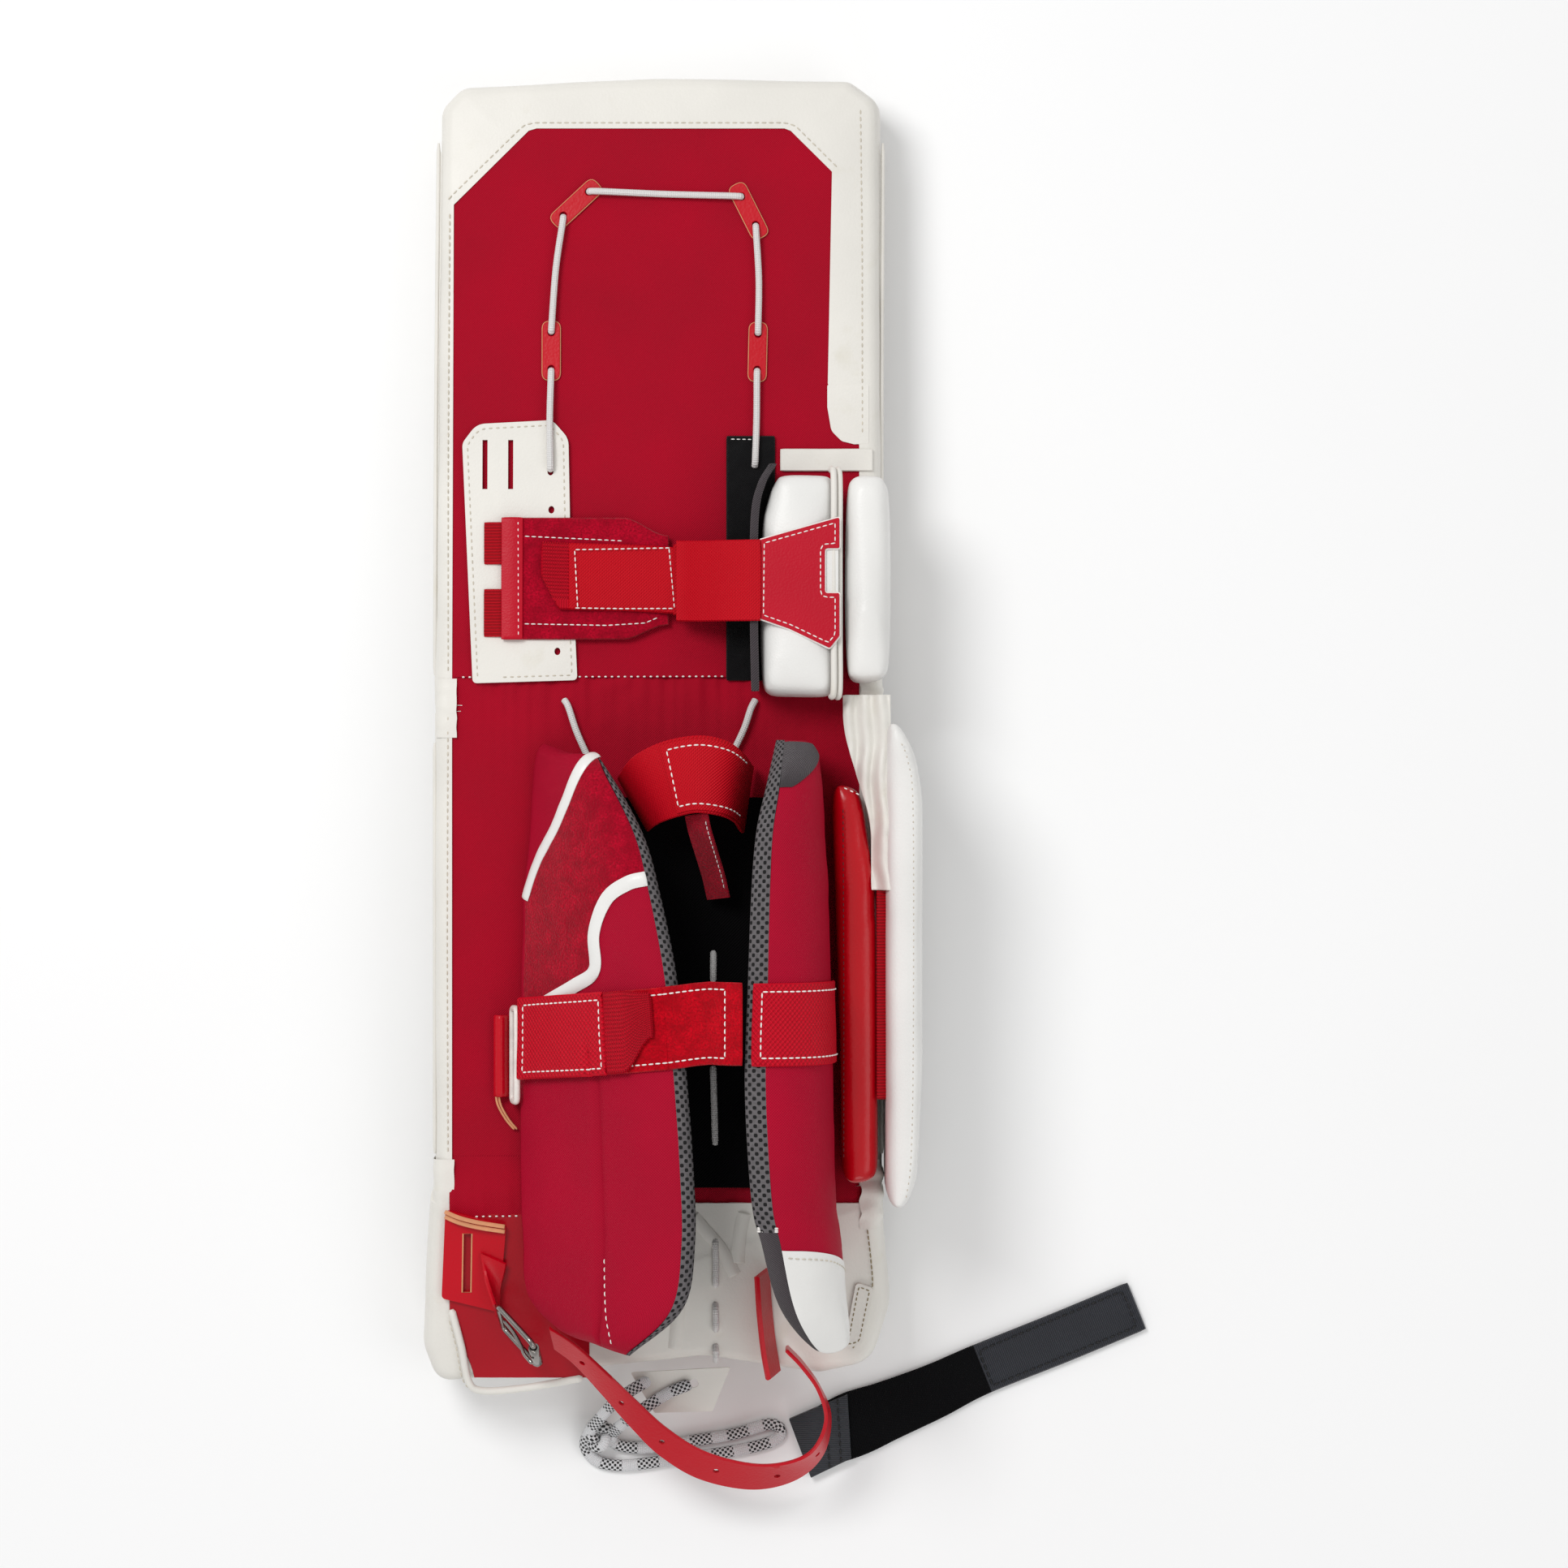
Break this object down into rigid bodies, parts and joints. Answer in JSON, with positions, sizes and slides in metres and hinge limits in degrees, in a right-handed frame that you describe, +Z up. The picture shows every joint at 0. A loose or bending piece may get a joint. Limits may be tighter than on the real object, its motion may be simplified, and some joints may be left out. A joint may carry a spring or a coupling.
{
  "type": "goaltender leg pad",
  "caption": "Padded leg guard with a hinged knee and boot, two calf wings that wrap the leg, and hook-and-loop and buckled straps on its leg side.",
  "frame": {"origin": "centre of the pad's footprint, on the floor it lies on, front face down", "axes": "+Z up out of the leg side, +Y along the pad towards the thigh end, +X across it towards its outer calf block"},
  "size_m": [0.4592, 0.894, 0.1753],
  "materials": {
    "white_leather": "smooth synthetic leather with a faint grain",
    "crimson_fabric": "fine woven nylon, matt",
    "red_leather": "smooth coated leather, slight sheen",
    "red_webbing": "woven webbing and ribbed elastic",
    "gray_mesh": "open spacer mesh",
    "black_fabric": "matt black webbing and lining",
    "foam": "closed-cell foam",
    "stiffener_plastic": "polyethylene sheet",
    "white_plastic": "moulded, slightly glossy",
    "dark_chrome": "dark nickel plating",
    "white_lace": "braided lace"
  },
  "bodies": {
    "shin": {"shin_cover": "white_leather", "shin_stiffener": "stiffener_plastic", "shin_core": "foam", "shin_back_panel": "crimson_fabric", "channel_liner": "black_fabric", "channel_lace": "white_lace", "lower_lace_left": "white_lace", "lower_lace_right": "white_lace", "side_block_cover": "red_leather", "side_block_foam": "foam", "outer_calf_cover": "white_leather", "outer_calf_foam": "foam", "ring_tab": "red_leather"},
    "thigh": {"thigh_cover": "white_leather", "thigh_stiffener": "stiffener_plastic", "thigh_core": "foam", "thigh_back_panel": "crimson_fabric", "thigh_facing": "white_leather", "lace_tab_1": "red_leather", "lace_tab_2": "red_leather", "lace_tab_3": "red_leather", "lace_tab_4": "red_leather", "thigh_lace": "white_lace", "knee_plate": "white_leather", "knee_hook_strip": "black_fabric", "wing_tie": "white_leather", "outer_knee_cover": "white_leather", "outer_knee_foam": "foam"},
    "boot": {"boot_cover": "white_leather", "boot_core": "foam", "boot_back_panel": "white_leather", "boot_anchor_left": "red_leather", "boot_anchor_right": "red_leather", "buckle_chape": "red_leather", "boot_strap": "red_leather", "boot_lace": "white_lace", "toe_tab": "white_leather", "toe_lace": "white_lace", "toe_strap_fold": "black_fabric", "toe_strap_elastic": "black_fabric", "toe_strap_hook": "black_fabric"},
    "knee_wing": {"knee_wing_cover": "white_leather", "knee_wing_foam": "foam", "knee_tab": "red_leather"},
    "knee_strap": {"knee_strap_elastic": "red_webbing", "knee_strap_hook": "red_webbing"},
    "knee_patch": {"knee_patch": "crimson_fabric"},
    "upper_band": {"upper_calf_band": "red_webbing"},
    "left_wing": {"left_wing_lining": "gray_mesh", "left_wing_foam": "foam", "left_wing_cover": "crimson_fabric"},
    "right_wing": {"right_wing_lining": "gray_mesh", "right_wing_foam": "foam", "right_wing_cover": "crimson_fabric"},
    "calf_strap": {"calf_strap_base": "red_webbing", "calf_strap_ring": "white_plastic"},
    "calf_tab": {"calf_strap_tab": "red_webbing"},
    "buckle": {"buckle_frame": "dark_chrome"},
    "buckle_roller": {"buckle_roller": "dark_chrome"},
    "buckle_prong": {"buckle_prong": "dark_chrome"}
  },
  "joints": [
    {"name": "knee_flex", "type": "hinge", "parent": "shin", "child": "thigh", "pos_m": [0, 0.047, 0.021], "axis": [1, 0, 0], "range_deg": [-12, 0]},
    {"name": "boot_flex", "type": "hinge", "parent": "shin", "child": "boot", "pos_m": [0, -0.251, 0.021], "axis": [1, 0, 0], "range_deg": [0, 15]},
    {"name": "knee_wing_open", "type": "hinge", "parent": "thigh", "child": "knee_wing", "pos_m": [0.1063, 0.12683, 0.10989], "axis": [0, 0.9986, -0.053], "range_deg": [0, 35]},
    {"name": "knee_strap_open", "type": "hinge", "parent": "knee_wing", "child": "knee_strap", "pos_m": [0.0548, 0.12714, 0.11588], "axis": [0, 0.9986, -0.053], "range_deg": [0, 120]},
    {"name": "knee_patch_lift", "type": "hinge", "parent": "thigh", "child": "knee_patch", "pos_m": [-0.1152, 0.12899, 0.07513], "axis": [0, -0.9986, 0.053], "range_deg": [0, 30]},
    {"name": "upper_band_tilt", "type": "hinge", "parent": "shin", "child": "upper_band", "pos_m": [0.0108, 0.013, 0.079], "axis": [-1, 0, 0], "range_deg": [0, 25]},
    {"name": "left_wing_open", "type": "hinge", "parent": "shin", "child": "left_wing", "pos_m": [-0.0892, -0.158, 0.0795], "axis": [0, -1, 0], "range_deg": [0, 28]},
    {"name": "right_wing_open", "type": "hinge", "parent": "shin", "child": "right_wing", "pos_m": [0.0808, -0.158, 0.079], "axis": [0, 1, 0], "range_deg": [0, 6]},
    {"name": "calf_strap_open", "type": "hinge", "parent": "right_wing", "child": "calf_strap", "pos_m": [0.0468, -0.1445, 0.177], "axis": [0, 1, 0], "range_deg": [0, 110]},
    {"name": "calf_tab_peel", "type": "hinge", "parent": "calf_strap", "child": "calf_tab", "pos_m": [-0.0922, -0.158, 0.094], "axis": [0, -1, 0], "range_deg": [0, 110]},
    {"name": "buckle_swing", "type": "hinge", "parent": "boot", "child": "buckle", "pos_m": [-0.1055, -0.33235, 0.0794], "axis": [0.086, -0.5793, -0.8106], "range_deg": [-8, 15]},
    {"name": "roller_spin", "type": "hinge", "parent": "buckle", "child": "buckle_roller", "pos_m": [-0.08282, -0.35389, 0.09722], "axis": [0.086, -0.5793, -0.8106], "continuous": true},
    {"name": "prong_lift", "type": "hinge", "parent": "buckle", "child": "buckle_prong", "pos_m": [-0.1055, -0.33235, 0.0794], "axis": [0.086, -0.5793, -0.8106], "range_deg": [0, 60]}
  ],
  "couplings": [
    {"joint": "left_wing_open", "follows": "calf_strap_open", "ratio": 0.25},
    {"joint": "knee_patch_lift", "follows": "knee_strap_open", "ratio": 0.25}
  ]
}
